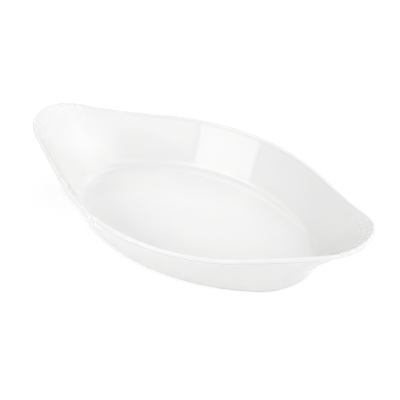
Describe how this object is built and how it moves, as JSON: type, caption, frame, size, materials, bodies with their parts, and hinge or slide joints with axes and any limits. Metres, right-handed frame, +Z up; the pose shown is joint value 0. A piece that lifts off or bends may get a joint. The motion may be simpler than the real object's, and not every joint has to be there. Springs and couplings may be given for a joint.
{
  "type": "oval gratin dish",
  "caption": "Shallow oval porcelain baking dish with a raised lobed ear at each end, a round lip and a foot ring.",
  "frame": {"origin": "on the ground under the middle of the dish, in the plane of the foot ring's underside", "axes": "+X along the length, towards the right ear; +Y across the dish; +Z up"},
  "size_m": [0.262, 0.1446, 0.0496],
  "materials": {
    "glaze": "smooth clear glaze over white porcelain, glossy",
    "biscuit": "unglazed fired porcelain, ground flat, matt"
  },
  "bodies": {
    "root": {"floor": "glaze", "wall": "glaze", "left_ear": "glaze", "right_ear": "glaze", "rim": "glaze", "foot_ring": "biscuit"}
  },
  "joints": []
}
